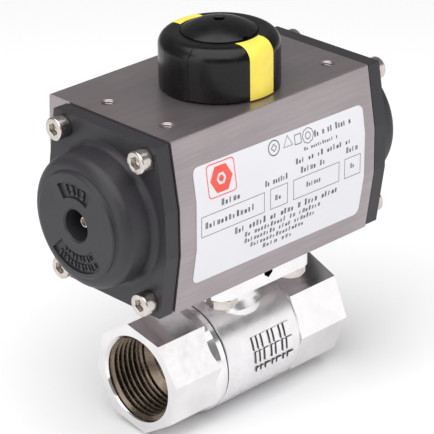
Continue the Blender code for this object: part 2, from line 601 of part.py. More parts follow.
def build_valve_body():
    barrel = [(0, 0.0230), (0.0196, 0.0230), (BODY_R, 0.0206), (BODY_R, JOINT_X), (0, JOINT_X)]
    body = turned("valve_body", barrel, PLATED, "X", steps=36, closed=False)
    octagon = rods("valve_octagon", [(0, 0, 0)], OCTAGON_R, 0.0200, PIPE_HALF, axis="X", steps=8)
    neck = [(0, PAD_BASE + 0.001), (NECK_R, PAD_BASE + 0.001), (NECK_R, 0.0205),
            (NECK_R + 0.0015, 0.0180), (0, 0.0180)]
    corners = [(PAD_HALF, PAD_HALF), (-PAD_HALF, PAD_HALF), (-PAD_HALF, -PAD_HALF),
               (PAD_HALF, -PAD_HALF)]
    pad = plate("valve_pad", rounded(corners, 0.0060, 4), PAD_BASE, PAD_TOP)
    join(body, octagon, turned("valve_neck", neck, closed=False), pad)
    cavity = [(0, SEAT_OUT), (SEAT_R, SEAT_OUT), (SEAT_R, SEAT_IN), (CAVITY_R, SEAT_IN),
              (CAVITY_R, JOINT_X - 0.002), (0, JOINT_X - 0.002)]
    stem_hole, flange_hole = STEM_R + GAP, STEM_FLANGE_R + GAP
    stem_bore = [(0, PAD_TOP + 0.001), (CHAMBER_R, PAD_TOP + 0.001), (CHAMBER_R, CHAMBER_BASE),
                 (stem_hole, CHAMBER_BASE), (stem_hole, 0.0230), (flange_hole, 0.0230),
                 (flange_hole, 0.0100), (0, 0.0100)]
    cut(body,
        turned("valve_cavity", cavity, axis="X", steps=FINE, closed=False),
        pipe_end_cutter("valve_far_bore", "X"),
        turned("valve_stem_bore", stem_bore, closed=False),
        rods("valve_pad_holes", four(PAD_BOLT, PAD_BOLT), M6_R + GAP, PAD_BASE - 0.001,
             PAD_TOP + 0.001, steps=16),
        plate("valve_pad_slot", [(-0.0021, PAD_TOP + 0.001), (-0.0021, PAD_TOP - 0.0022),
                                 (0, PAD_TOP - 0.0038), (0.0021, PAD_TOP - 0.0022),
                                 (0.0021, PAD_TOP + 0.001)], 0.012, 0.030, plane="YZ"))
    bpy.data.objects["valve_pad_slot"].rotation_euler = (0, 0, -math.pi / 2)


def build_connector():
    """Screwed-in pipe end: an octagon, a chamfered collar and the spigot that holds a seat."""
    connector = rods("valve_end_connector", [(0, 0, 0)], NEAR_OCTAGON_R, 0.0215, PIPE_HALF,
                     PLATED, "-X", 8, spin=math.radians(10.5))
    spigot_r = CAVITY_R - GAP
    collar = [(0, 0.0245), (0.0194, 0.0242), (BODY_R, 0.0212), (BODY_R, COLLAR_SHOULDER),
              (spigot_r, COLLAR_SHOULDER), (spigot_r, SEAT_IN), (SEAT_R, SEAT_IN),
              (SEAT_R, SEAT_OUT), (0, SEAT_OUT)]
    join(connector, turned("connector_collar", collar, axis="-X", steps=36, closed=False))
    cut(connector, pipe_end_cutter("connector_bore", "-X"))
    ring("connector_seal", 0.0196, 0.0212, 0.01840, 0.01865, PTFE, "-X")


def build_seat(name, axis):
    """PTFE seat ring whose inner face follows the ball."""
    reach = BALL_R + GAP
    inner, outer, back = PORT_BORE_R + GAP, SEAT_R - GAP, SEAT_OUT - GAP
    face = [(r, math.sqrt(reach ** 2 - r ** 2)) for r in (outer, (outer + inner) / 2, inner)]
    turned(name, [(outer, back)] + face + [(inner, back)], PTFE, axis, steps=MEDIUM)


def build_ball_and_stem():
    """The ball's port lies across the pipe at rest; the stem's tang sits in a slot on its top."""
    profile = [(BALL_R * math.sin(a), BALL_R * math.cos(a))
               for a in (math.pi * k / 16 for k in range(17))]
    profile[0], profile[-1] = (0, BALL_R), (0, -BALL_R)
    ball = turned("ball", profile, CHROME, "Y", steps=FINE, closed=False)
    cut(ball, rods("ball_port", [(0, 0, 0)], PORT_BORE_R, -0.03, 0.03, axis="Y", steps=FINE),
        boxes("ball_slot", [((-0.0068, -0.0028, 0.0146), (0.0068, 0.0028, 0.0200))]))
    half = SQUARE / 2 - GAP
    shaft_top, flange_top, flange_base = 0.0376, 0.0212, 0.0190
    stem = turned("stem", [(0, shaft_top), (STEM_R, shaft_top), (STEM_R, flange_top),
                           (STEM_FLANGE_R, flange_top), (STEM_FLANGE_R, flange_base),
                           (0, flange_base)], STAINLESS, closed=False)
    join(stem, boxes("stem_drive", [((-half, -half, 0.0370), (half, half, 0.0480))]),
         boxes("stem_tang", [((-0.0062, -0.0025, 0.0149), (0.0062, 0.0025, 0.0195))]))
    hole, packing_r = STEM_R + GAP, CHAMBER_R - GAP
    packing_top, gland_top = 0.0312, 0.0368
    ring("stem_thrust_washer", hole, STEM_FLANGE_R, flange_top + GAP, 0.0227, PTFE)
    ring("stem_packing", hole, packing_r, CHAMBER_BASE + GAP, packing_top, PTFE)
    gland = ring("gland_nut", hole, packing_r, packing_top + GAP, gland_top, BLACK_STEEL)
    slot = ((-0.0012, -0.0110, gland_top - 0.0016), (0.0012, 0.0110, gland_top + 0.0012))
    cut(gland, boxes("gland_spanner_slot", [slot]))


def build_mounting_bolts():
    """M6 hex bolts from under the pad into the actuator's base."""
    seat = PAD_BASE - GAP
    for number, centre in enumerate(four(PAD_BOLT, PAD_BOLT), 1):
        name = f"mounting_bolt_{number}"
        head = rods(name, [centre], M6_HEAD_AF / math.sqrt(3), seat - M6_HEAD_H, seat, STAINLESS,
                    steps=6, spin=math.radians(15))
        join(head, rods(name + "_shank", [centre], M6_R, seat - 0.001, 0.0470, steps=16))


# ---- assembly --------------------------------------------------------------------------------
def main():
    build_body()
    build_rating_plate()
    build_end_cap(-1, "-X")
    build_end_cap(1, "X")
    build_piston("far", False)
    build_piston("near", True)
    build_pinion()
    build_indicator()
    build_valve_body()
    build_connector()
    build_seat("seat_near", "-X")
    build_seat("seat_far", "X")
    build_ball_and_stem()
    build_mounting_bolts()


main()
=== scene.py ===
import json
import math

import bmesh
import bpy
from mathutils import Matrix, Vector


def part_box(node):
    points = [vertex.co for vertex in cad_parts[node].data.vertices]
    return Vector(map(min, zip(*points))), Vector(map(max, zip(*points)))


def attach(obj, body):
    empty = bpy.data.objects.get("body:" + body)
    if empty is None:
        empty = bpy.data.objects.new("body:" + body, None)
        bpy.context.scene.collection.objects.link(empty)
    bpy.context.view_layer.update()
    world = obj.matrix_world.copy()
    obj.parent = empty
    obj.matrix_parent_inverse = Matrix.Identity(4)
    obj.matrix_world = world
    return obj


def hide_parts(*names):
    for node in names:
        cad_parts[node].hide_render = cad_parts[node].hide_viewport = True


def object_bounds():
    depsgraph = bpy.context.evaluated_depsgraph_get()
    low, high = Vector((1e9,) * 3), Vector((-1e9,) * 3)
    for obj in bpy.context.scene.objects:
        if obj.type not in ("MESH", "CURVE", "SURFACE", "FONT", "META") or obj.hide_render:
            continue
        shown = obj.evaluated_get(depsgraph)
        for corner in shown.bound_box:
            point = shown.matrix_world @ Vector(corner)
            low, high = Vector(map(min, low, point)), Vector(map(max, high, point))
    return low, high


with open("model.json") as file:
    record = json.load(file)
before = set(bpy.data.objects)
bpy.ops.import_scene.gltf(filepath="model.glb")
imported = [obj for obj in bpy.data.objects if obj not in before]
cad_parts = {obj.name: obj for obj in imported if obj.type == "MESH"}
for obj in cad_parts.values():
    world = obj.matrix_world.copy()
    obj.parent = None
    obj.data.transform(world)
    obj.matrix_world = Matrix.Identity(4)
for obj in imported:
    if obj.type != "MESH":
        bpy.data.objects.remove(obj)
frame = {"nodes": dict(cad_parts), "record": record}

CAD_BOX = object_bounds()
MM = 0.001

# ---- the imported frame's places ---------------------------------------------------------
BODY_LOW, BODY_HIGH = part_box("actuator_body")
BODY_HALF_LENGTH = BODY_HIGH.x
BODY_BASE, BODY_TOP = BODY_LOW.z, BODY_HIGH.z
BORE_Z = (BODY_BASE + BODY_TOP) / 2
CAP_OUT = 55.8 * MM
CAP_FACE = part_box("end_cap_far")[1].x
PIPE_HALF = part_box("valve_body")[1].x
PAD_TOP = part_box("valve_body")[1].z
PUCK_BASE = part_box("indicator_cap")[0].z
PUCK_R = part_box("indicator_cap")[1].x
PUCK_RING_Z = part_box("indicator_cap")[1].z
CENTRE = Vector((0, 0, BORE_Z))

# ---- dimensions that the frame's boxes don't give ----------------------------------------
GAP = 0.3 * MM
BORE_R = 25.0 * MM
FRONT_EDGE, FRONT_BULGE, BULGE_HALF = 26.5 * MM, 30.4 * MM, 8.7 * MM
BACK_EDGE, BACK_FACE, BACK_HALF = 36.1 * MM, 36.9 * MM, 16.0 * MM
CAP_IN, CAP_INSET = 50.0 * MM, 0.4 * MM
DOME_R, DOME_FACE_R, DOME_STEP = 24.6 * MM, 19.4 * MM, 1.4 * MM
RECESS_R, RECESS_DEPTH = 5.8 * MM, 10.0 * MM
CAP_SCREW = (21.0 * MM, 26.9 * MM)
TOP_HOLE = (40.0 * MM, 15.0 * MM)
PORT_X = 12.0 * MM
PORT_SCREW = (16.0 * MM, 12.0 * MM)
SHOULDER, PLUG_R, PLUG_RISE = 5.0 * MM, 13.7 * MM, 4.0 * MM
BAND_HALF, BAND_DEPTH, BAND_INNER = 5.75 * MM, 2.0 * MM, 15.0 * MM
BARREL_R, JOINT_X, SHOULDER_X = 21.7 * MM, -18.1 * MM, -18.9 * MM
FAR_OCTAGON_R, NEAR_OCTAGON_R = 22.0 * MM, 21.6 * MM
PORT_BORE_R, THREAD_DEPTH = 12.5 * MM, 18.0 * MM
G1 = (15.15 * MM, 16.63 * MM, 2.309 * MM)        # minor radius, major radius, pitch
G14 = (5.7 * MM, 6.45 * MM, 1.337 * MM)
M5 = (2.1 * MM, 2.5 * MM, 0.8 * MM)
BALL_R, CAVITY_R, SEAT_R = 18.5 * MM, 19.2 * MM, 17.5 * MM
PAD_HALF, PAD_BASE, PAD_CORNER = 24.0 * MM, 31.5 * MM, 6.0 * MM
BOLT = 17.68 * MM
NECK_R = 13.0 * MM
FLOOR_Z = CAD_BOX[0].z


# ---- meshes --------------------------------------------------------------------------------
AXES = {"Z": Matrix(), "-Z": Matrix.Rotation(math.pi, 4, "X"),
        "X": Matrix.Rotation(math.pi / 2, 4, "Y"), "-X": Matrix.Rotation(-math.pi / 2, 4, "Y"),
        "Y": Matrix.Rotation(-math.pi / 2, 4, "X"), "-Y": Matrix.Rotation(math.pi / 2, 4, "X")}
PLANES = {"XY": Matrix(),
          "YZ": Matrix(((0, 0, 1, 0), (1, 0, 0, 0), (0, 1, 0, 0), (0, 0, 0, 1)))}
HALF_TURN = Matrix.Rotation(math.pi, 4, "Z")


def as_object(name, shape, place=Matrix()):
    """A closed mesh object at the origin, from a bmesh."""
    bmesh.ops.transform(shape, matrix=place, verts=shape.verts)
    bmesh.ops.recalc_face_normals(shape, faces=shape.faces)
    mesh = bpy.data.meshes.new(name)
    shape.to_mesh(mesh)
    shape.free()
    obj = bpy.data.objects.new(name, mesh)
    bpy.context.scene.collection.objects.link(obj)
    return obj


def lathe(name, profile, axis="Z", centre=(0, 0, 0), steps=96, closed=False):
    """Turn a profile of (radius, height) points about an axis."""
    shape = bmesh.new()
    rings = []
    for radius, height in profile:
        count = steps if radius > 0 else 1
        angles = [2 * math.pi * k / steps for k in range(count)]
        rings.append([shape.verts.new((radius * math.cos(a), radius * math.sin(a), height))
                      for a in angles])
    after = rings[1:] + (rings[:1] if closed else [])
    for one, two in zip(rings, after):
        for k in range(steps):
            corners = [one[k % len(one)], one[(k + 1) % len(one)],
                       two[(k + 1) % len(two)], two[k % len(two)]]
            face = list(dict.fromkeys(corners))
            if len(face) > 2:
                shape.faces.new(face)
    return as_object(name, shape, Matrix.Translation(centre) @ AXES[axis])


def rod(name, radius, low, high, axis="Z", centre=(0, 0, 0), steps=48):
    return lathe(name, [(0, low), (radius, low), (radius, high), (0, high)], axis, centre, steps)


def prism(name, outline, low, high, plane="XY", place=Matrix()):
    """Extrude a flat outline from low to high across its plane."""
    shape = bmesh.new()
    rings = [[shape.verts.new((u, v, w)) for u, v in outline] for w in (low, high)]
    count = len(outline)
    for k in range(count):
        after = (k + 1) % count
        shape.faces.new((rings[0][k], rings[0][after], rings[1][after], rings[1][k]))
    for ring in rings:
        shape.faces.new(ring)
    return as_object(name, shape, place @ PLANES[plane])


def box(name, low, high):
    corners = [(low[0], low[1]), (high[0], low[1]), (high[0], high[1]), (low[0], high[1])]
    return prism(name, corners, low[2], high[2])


def arc(radius, start, end, steps, centre=(0, 0)):
    """Points on an arc, angles in degrees."""
    angles = [math.radians(start + (end - start) * k / steps) for k in range(steps + 1)]
    return [(centre[0] + radius * math.cos(a), centre[1] + radius * math.sin(a)) for a in angles]


def rounded(corners, radius, steps=6):
    """A polygon with each corner replaced by an arc."""
    points = []
    for i, corner in enumerate(corners):
        corner = Vector(corner)
        before = (Vector(corners[i - 1]) - corner).normalized()
        after = (Vector(corners[(i + 1) % len(corners)]) - corner).normalized()
        half = before.angle(after) / 2
        reach = radius / math.tan(half)
        middle = corner + (before + after).normalized() * radius / math.sin(half)
        start = (corner + before * reach - middle).normalized()
        end = (corner + after * reach - middle).normalized()
        for k in range(steps + 1):
            points.append(tuple(middle + radius * start.slerp(end, k / steps)))
    return points


def rectangle(x0, z0, x1, z1):
    return [(x0, z0), (x1, z0), (x1, z1), (x0, z1)]


def four(x, y):
    return [(sx * x, sy * y) for sx in (-1, 1) for sy in (-1, 1)]


def bake(obj):
    """Apply an object's modifiers."""
    bpy.context.view_layer.update()
    graph = bpy.context.evaluated_depsgraph_get()
    mesh = bpy.data.meshes.new_from_object(obj.evaluated_get(graph))
    obj.modifiers.clear()
    obj.data = mesh
    return obj


def combine(obj, operation, *tools):
    for tool in tools:
        step = obj.modifiers.new(tool.name, "BOOLEAN")
        step.operation = operation
        step.solver = "EXACT"
        step.object = tool
    bake(obj)
    for tool in tools:
        bpy.data.objects.remove(tool)
    return obj


def cut(obj, *tools):
    return combine(obj, "DIFFERENCE", *tools)


def join(obj, *tools):
    return combine(obj, "UNION", *tools)


def ease(obj, width, limit=40, segments=2, highlight_edges=False):
    """Break the sharp edges, then shade smooth across everything but what is still sharp.

    When asked, the broken edges take the piece's second finish, a lighter colour painted on as an
    edge highlight.
    """
    if highlight_edges:
        for _ in range(2):
            obj.data.materials.append(None)
    if width:
        bevel = obj.modifiers.new("edges", "BEVEL")
        bevel.width = width
        bevel.segments = segments
        bevel.limit_method = "ANGLE"
        bevel.angle_limit = math.radians(limit)
        bevel.miter_outer = "MITER_ARC"
        # Bevel faces of such a piece take slot 1, a lighter colour that paints a highlight along the
        # edges.
        bevel.material = 1 if highlight_edges else -1
        bake(obj)
    obj.data.shade_smooth()
    obj.data.set_sharp_from_angle(angle=math.radians(limit))
    normals = obj.modifiers.new("normals", "WEIGHTED_NORMAL")
    normals.keep_sharp = True
    return obj


def tapped_hole(name, thread, length, axis, centre, steps=48, deeper=()):
    """A closed tool for a tapped hole: chamfered mouth, helical thread, runout, deeper bores.

    The axis points into the solid, and the centre is on its face.
    """
    minor, major, pitch = thread
    shape = bmesh.new()
    crest, root = 0.12, 0.5
    phases = (0.0, crest, root, root + crest)
    turns = math.ceil(length / pitch) + 1

    def radius(depth, angle):
        phase = (depth / pitch - angle / (2 * math.pi)) % 1
        if phase < crest:
            height = 0.0
        elif phase < root:
            height = (phase - crest) / (root - crest)
        elif phase < root + crest:
            height = 1.0
        else:
            height = (1 - phase) / (1 - root - crest)
        fade = min(1.0, max(0.0, (length - depth) / (1.2 * pitch)))
        return max(minor + (major - minor) * height * fade, major + GAP - depth)

    rows = []
    for k in range(-len(phases), turns * len(phases) + 1):
        start = (k // len(phases) + phases[k % len(phases)]) * pitch
        row = []
        for j in range(steps + 1):
            angle = 2 * math.pi * j / steps
            depth = min(length, max(0.0, start + pitch * j / steps))
            r = radius(depth + 1e-9, angle)
            row.append(shape.verts.new((r * math.cos(angle), r * math.sin(angle), depth)))
        rows.append(row)
    for one, two in zip(rows, rows[1:]):
        for j in range(steps):
            shape.faces.new((one[j], one[j + 1], two[j + 1], two[j]))
    bmesh.ops.remove_doubles(shape, verts=shape.verts, dist=1e-6)
    bmesh.ops.dissolve_degenerate(shape, edges=shape.edges, dist=1e-7)
    for depth, points in ((0.0, [(major + GAP + MM, -MM), (0, -MM)]), (length, [*deeper])):
        rim = [e for e in shape.edges if e.is_boundary
               and all(abs(v.co.z - depth) < 1e-6 for v in e.verts)]
        points = points or [(0, length)]
        for r, height in points:
            made = bmesh.ops.extrude_edge_only(shape, edges=rim)["geom"]
            rim = [e for e in made if isinstance(e, bmesh.types.BMEdge) and e.is_boundary]
            for vert in {v for e in rim for v in e.verts}:
                flat = Vector((vert.co.x, vert.co.y, 0)).normalized() * r
                vert.co = (flat.x, flat.y, height)
        bmesh.ops.remove_doubles(shape, verts=shape.verts, dist=1e-6)
    return as_object(name, shape, Matrix.Translation(centre) @ AXES[axis])


# ---- finishes --------------------------------------------------------------------------------
def linear(*rgb):
    return tuple(((c / 255 + 0.055) / 1.055) ** 2.4 if c > 10 else c / 255 / 12.92 for c in rgb)


class Finish:
    """A Principled material fed by noise in the piece's own metres."""

    def __init__(self, name, colour, roughness, metallic=0.0, **sockets):
        self.material = bpy.data.materials.new(name)
        self.material.use_nodes = True
        self.tree = self.material.node_tree
        self.shader = self.tree.nodes["Principled BSDF"]
        self.base = linear(*colour)
        values = {"Base Color": (*self.base, 1.0), "Roughness": roughness, "Metallic": metallic}
        values.update({key.replace("_", " "): value for key, value in sockets.items()})
        for socket, value in values.items():
            self.shader.inputs[socket].default_value = value
        self.place = self.tree.nodes.new("ShaderNodeTexCoord").outputs["Object"]
        self.normal = None

    def noise(self, size, detail=3.0, stretch=(1, 1, 1)):
        """Noise with features of about this size in metres, longer where stretch is above 1."""
        mapping = self.tree.nodes.new("ShaderNodeMapping")
        mapping.inputs["Scale"].default_value = [1 / (size * s) for s in stretch]
        self.tree.links.new(self.place, mapping.inputs["Vector"])
        made = self.tree.nodes.new("ShaderNodeTexNoise")
        made.inputs["Scale"].default_value = 1.0
        made.inputs["Detail"].default_value = detail
        self.tree.links.new(mapping.outputs["Vector"], made.inputs["Vector"])
        return made.outputs["Fac"]

    def tint(self, value, dark, light, low=0.35, high=0.65):
        """Base colour between two multiples of the base, multiplied over any earlier tint."""
        ramp = self.tree.nodes.new("ShaderNodeValToRGB")
        first, second = ramp.color_ramp.elements
        first.position, second.position = low, high
        first.color = (*(c * dark for c in self.base), 1)
        second.color = (*(min(1.0, c * light) for c in self.base), 1)
        self.tree.links.new(value, ramp.inputs["Fac"])
        socket = self.shader.inputs["Base Color"]
        if socket.is_linked:
            first.color = (dark, dark, dark, 1)
            second.color = (light, light, light, 1)
            mix = self.tree.nodes.new("ShaderNodeMix")
            mix.data_type = "RGBA"
            mix.blend_type = "MULTIPLY"
            mix.inputs["Factor"].default_value = 1.0
            self.tree.links.new(socket.links[0].from_socket, mix.inputs["A"])
            self.tree.links.new(ramp.outputs["Color"], mix.inputs["B"])
            self.tree.links.new(mix.outputs["Result"], socket)
        else:
            self.tree.links.new(ramp.outputs["Color"], socket)
        return self

    def gloss(self, value, low, high, start=0.3, end=0.7):
        """Roughness between low and high, as the value goes from start to end."""
        span = self.tree.nodes.new("ShaderNodeMapRange")
        span.inputs["From Min"].default_value = start
        span.inputs["From Max"].default_value = end
        span.inputs["To Min"].default_value = low
        span.inputs["To Max"].default_value = high
        self.tree.links.new(value, span.inputs["Value"])
        self.tree.links.new(span.outputs["Result"], self.shader.inputs["Roughness"])
        return self

    def bump(self, value, height, strength=1.0):
        made = self.tree.nodes.new("ShaderNodeBump")
        made.inputs["Distance"].default_value = height
        made.inputs["Strength"].default_value = strength
        self.tree.links.new(value, made.inputs["Height"])
        if self.normal:
            self.tree.links.new(self.normal, made.inputs["Normal"])
        self.normal = made.outputs["Normal"]
        self.tree.links.new(self.normal, self.shader.inputs["Normal"])
        return self


def brushed_anodised():
    made = Finish("brushed_anodised", (161, 152, 154), 0.35, 0.85)
    streaks = made.noise(0.16 * MM, 2, (90, 1, 1))
    broad = made.noise(1.6 * MM, 3, (30, 1, 1))
    cloud = made.noise(28 * MM, 3)
    made.tint(streaks, 0.92, 1.08).tint(broad, 0.96, 1.03).tint(cloud, 0.95, 1.05)
    return made.gloss(streaks, 0.30, 0.40).bump(streaks, 0.006 * MM, 0.4)


def painted_light_finish(name, colour, roughness, metallic):
    """The lighter, smoother look of a broken edge, painted on as a highlight; in a dark colour,
    painted shade on the sides of raised marks.
    """
    made = Finish(name, colour, roughness, metallic)
    made.tint(made.noise(5 * MM, 4), 0.85, 1.1)
    return made.gloss(made.noise(1 * MM, 3), roughness - 0.05, roughness + 0.1)


def powder_coat():
    made = Finish("powder_coat_black", (46, 44, 48), 0.5, Specular_IOR_Level=0.38)
    fine, orange_peel = made.noise(0.5 * MM, 3), made.noise(1.3 * MM, 2)
    made.tint(made.noise(14 * MM, 4), 0.92, 1.08).tint(fine, 0.90, 1.10)
    made.gloss(fine, 0.36, 0.52)
    return made.bump(orange_peel, 0.09 * MM, 0.6).bump(fine, 0.05 * MM, 0.7)


def bright_nickel():
    made = Finish("bright_nickel", (232, 230, 230), 0.13, 1.0)
    made.tint(made.noise(9 * MM, 4), 0.95, 1.02)
    made.gloss(made.noise(3 * MM, 4), 0.09, 0.20)
    return made.bump(made.noise(7 * MM, 2), 0.02 * MM, 0.5)


def cast_nickel():
    made = Finish("cast_nickel", (232, 230, 231), 0.28, 1.0)
    made.tint(made.noise(9 * MM, 2), 0.96, 1.02)
    made.gloss(made.noise(6 * MM, 2), 0.25, 0.33)
    return made.bump(made.noise(10 * MM, 1), 0.04 * MM, 0.4)


def thread_nickel():
    made = Finish("threaded_nickel", (128, 114, 100), 0.25, 1.0)
    made.tint(made.noise(4 * MM, 4), 0.75, 1.08)
    return made.gloss(made.noise(1 * MM, 3), 0.2, 0.4)


def gloss_black():
    made = Finish("gloss_black_plastic", (11, 10, 12), 0.26, Specular_IOR_Level=0.30)
    haze, fine = made.noise(5 * MM, 4), made.noise(0.5 * MM, 3)
    made.tint(haze, 0.85, 1.2)
    return made.gloss(haze, 0.20, 0.34).bump(fine, 0.006 * MM, 0.5)


def yellow_plastic():
    made = Finish("yellow_plastic", (248, 226, 88), 0.34, Specular_IOR_Level=0.45)
    haze = made.noise(6 * MM, 4)
    made.tint(haze, 0.95, 1.04)
    return made.gloss(haze, 0.28, 0.42).bump(made.noise(0.6 * MM, 3), 0.006 * MM, 0.5)


def stainless():
    made = Finish("stainless", (205, 198, 192), 0.22, 1.0)
    mottle = made.noise(2.2 * MM, 3)
    made.tint(mottle, 0.86, 1.04)
    return made.gloss(mottle, 0.16, 0.30).bump(mottle, 0.015 * MM, 0.4)


def chrome():
    made = Finish("chrome_ball", (222, 222, 224), 0.06, 1.0)
    return made.tint(made.noise(8 * MM, 3), 0.96, 1.0).gloss(made.noise(2 * MM, 3), 0.04, 0.10)


def machined(name, colour, metallic, rough):
    """Turned or cast inner metal, with a light tool grain."""
    made = Finish(name, colour, rough, metallic)
    grain = made.noise(0.5 * MM, 4)
    made.tint(made.noise(6 * MM, 4), 0.85, 1.08)
    return made.gloss(grain, rough - 0.08, rough + 0.10).bump(grain, 0.01 * MM, 0.5)


def moulded(name, colour, rough, grain=0.6 * MM, height=0.01 * MM):
    """Moulded plastic or rubber with a faint grain."""
    made = Finish(name, colour, rough)
    fine = made.noise(grain, 3)
    made.tint(made.noise(8 * MM, 4), 0.93, 1.05)
    return made.gloss(fine, rough - 0.06, rough + 0.08).bump(fine, height, 0.5)


def vinyl():
    made = Finish("plate_vinyl", (231, 230, 235), 0.38)
    made.tint(made.noise(18 * MM, 4), 0.975, 1.0)
    return made.gloss(made.noise(3 * MM, 3), 0.32, 0.45).bump(made.noise(9 * MM, 2), 0.03 * MM, 0.4)


def make_finishes():
    made = {
        "anodised_body": brushed_anodised(), "powder_coat": powder_coat(),
        "stainless": stainless(), "chrome_ball": chrome(), "plated_brass": bright_nickel(),
        "black_steel": machined("blackened_steel", (48, 46, 46), 0.7, 0.42),
        "pinion_steel": machined("pinion_steel", (176, 174, 172), 1.0, 0.32),
        "piston_alloy": machined("die_cast_alloy", (188, 188, 190), 0.9, 0.42),
        "black_plastic": gloss_black(), "yellow_plastic": yellow_plastic(),
        "white_vinyl": vinyl(), "ptfe": moulded("ptfe", (236, 235, 228), 0.5),
        "acetal": moulded("acetal", (226, 222, 210), 0.42),
        "gasket_rubber": moulded("nitrile_rubber", (26, 25, 26), 0.66),
        "cast_nickel": cast_nickel(), "thread_nickel": thread_nickel(),
        # The next two are lighter copies of the body and cap finishes: painted highlights on the
        # broken edges.
        "anodised_painted_highlight": painted_light_finish("anodised_painted_highlight", (196, 190, 191), 0.30, 0.9),
        "powder_painted_highlight": painted_light_finish("powder_coat_painted_highlight", (88, 85, 90), 0.36, 0.1),
        # A darker copy of the nickel: painted shade on the sides of the barrel's raised marks.
        "mark_painted_shade": painted_light_finish("cast_mark_painted_shade", (96, 92, 94), 0.35, 1.0),
        "ink": moulded("dark_ink", (84, 82, 86), 0.5, 1.5 * MM, 0.002 * MM),
        "red_ink": moulded("red_ink", (238, 88, 74), 0.45, 1.5 * MM, 0.002 * MM),
    }
    return {slot: finish.material for slot, finish in made.items()}


FINISHES = make_finishes()


def piece(obj, body, slot, *nodes, finishes=()):
    """Give a made piece its finishes (its slot's own when none are listed), parent it to its body's
    empty and hide the CAD nodes it stands in for.
    """
    finishes = finishes or (slot,)
    while len(obj.data.materials) < len(finishes):
        obj.data.materials.append(None)
    for place, finish in enumerate(finishes):
        obj.data.materials[place] = FINISHES[finish]
    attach(obj, body)
    if nodes:
        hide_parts(*nodes)
    return obj


def dress_cad_nodes():
    """Every carried-over CAD node gets its slot's procedural finish."""
    slots = {part["node"]: part["material_slot"] for part in frame["record"]["subparts"]}
    for name, obj in frame["nodes"].items():
        if not obj.material_slots:
            obj.data.materials.append(None)
        for place in obj.material_slots:
            place.material = FINISHES[slots[name]]


# ---- actuator body -----------------------------------------------------------------------------
def body_outline(inset=0.0, symmetric=False):
    """Cross-section in Y and Z: three front facets, and a deeper back unless symmetric."""
    half = (BODY_TOP - BODY_BASE) / 2 - inset
    edge, bulge = FRONT_EDGE - inset, FRONT_BULGE - inset
    front = [(-edge, half), (-bulge, BULGE_HALF), (-bulge, -BULGE_HALF), (-edge, -half)]
    if symmetric:
        back = [(-y, z) for y, z in reversed(front)]
    else:
        back = [(BACK_EDGE, -half), (BACK_FACE, -BACK_HALF), (BACK_FACE, BACK_HALF),
                (BACK_EDGE, half)]
    return [(y, z + BORE_Z) for y, z in rounded(front + back, 0.6 * MM, 4)]


def build_body():
    body = prism("body_extrusion", body_outline(), -BODY_HALF_LENGTH, BODY_HALF_LENGTH, "YZ")
    far = BODY_HALF_LENGTH + MM
    tools = [rod("bore", BORE_R, -far, far, "X", CENTRE, 128),
             rod("lower_hole", 13.3 * MM, BODY_BASE - MM, BORE_Z, steps=64),
             rod("upper_hole", 11.3 * MM, BORE_Z, BODY_TOP + MM, steps=64)]
    for x, y in four(*TOP_HOLE):
        tools.append(tapped_hole("top_thread", M5, 8 * MM, "-Z", (x, y, BODY_TOP), 28))
    for x, y in four(BOLT, BOLT):
        tools.append(rod("base_hole", 3.3 * MM, BODY_BASE - MM, BODY_BASE + 10.5 * MM,
                         centre=(x, y, 0)))
    for side in (-1, 1):
        for y, z in four(*CAP_SCREW):
            at = (side * BODY_HALF_LENGTH, y, BORE_Z + z)
            tools.append(rod("end_hole", 2.8 * MM, -15 * MM, 15 * MM, "X", at, 32))
        at = (side * PORT_X, BACK_FACE, BORE_Z)
        tools.append(tapped_hole("port_thread", G14, 8 * MM, "-Y", at, 56,
                                 [(5.2 * MM, 8 * MM), (2 * MM, 9.5 * MM), (2 * MM, 20 * MM),
                                  (0, 20 * MM)]))
    for x, z in four(*PORT_SCREW):
        at = (x, BACK_FACE, BORE_Z + z)
        tools.append(tapped_hole("port_screw_thread", M5, 7 * MM, "-Y", at, 28))
    cut(body, *tools)
    # Its broken edges take a lighter anodised colour, a painted highlight.
    piece(ease(body, 0.22 * MM, highlight_edges=True), "housing", "anodised_body", "actuator_body",
          finishes=("anodised_body", "anodised_painted_highlight"))


# ---- rating plate ----------------------------------------------------------------------------
PLATE_SPAN = (-41.7, 47.1, 43.5, 91.1)       # low and high corners before the tilt, mm
PLATE_TILT = math.radians(-0.95)
EMBLEM = (-29.1, 84.3)


def front_y(z):
    """Depth of the body's front at a height."""
    half = (BODY_TOP - BODY_BASE) / 2
    slope = (FRONT_BULGE - FRONT_EDGE) / (half - BULGE_HALF)
    return slope * max(0.0, abs(z - BORE_Z) - BULGE_HALF) - FRONT_BULGE


def on_front(name, outlines, low, high):
    """Closed flat shapes, in millimetres along X and Z, laid on the facets of the front."""
    shape = bmesh.new()
    x0, z0, x1, z1 = PLATE_SPAN
    middle = Vector(((x0 + x1) / 2, (z0 + z1) / 2))
    for outline in outlines:
        points = [Matrix.Rotation(PLATE_TILT, 2) @ (Vector(p) - middle) + middle for p in outline]
        rings = [[shape.verts.new((p.x * MM, -w, p.y * MM)) for p in points] for w in (low, high)]
        for k in range(len(points)):
            after = (k + 1) % len(points)
            shape.faces.new((rings[0][k], rings[0][after], rings[1][after], rings[1][k]))
        for ring in rings:
            shape.faces.new(ring)
    for kink in (BORE_Z - BULGE_HALF, BORE_Z + BULGE_HALF):
        geometry = [*shape.verts, *shape.edges, *shape.faces]
        bmesh.ops.bisect_plane(shape, geom=geometry, dist=1e-7, plane_co=(0, 0, kink),
                               plane_no=(0, 0, 1))
    for vert in shape.verts:
        vert.co.y += front_y(vert.co.z)
    return as_object(name, shape)


def frame_of(x0, z0, x1, z1, line=0.22):
    """Four bars round a box."""
    return [rectangle(x0, z0, x1, z0 + line), rectangle(x0, z1 - line, x1, z1),
            rectangle(x0, z0 + line, x0 + line, z1 - line),
            rectangle(x1 - line, z0 + line, x1, z1 - line)]


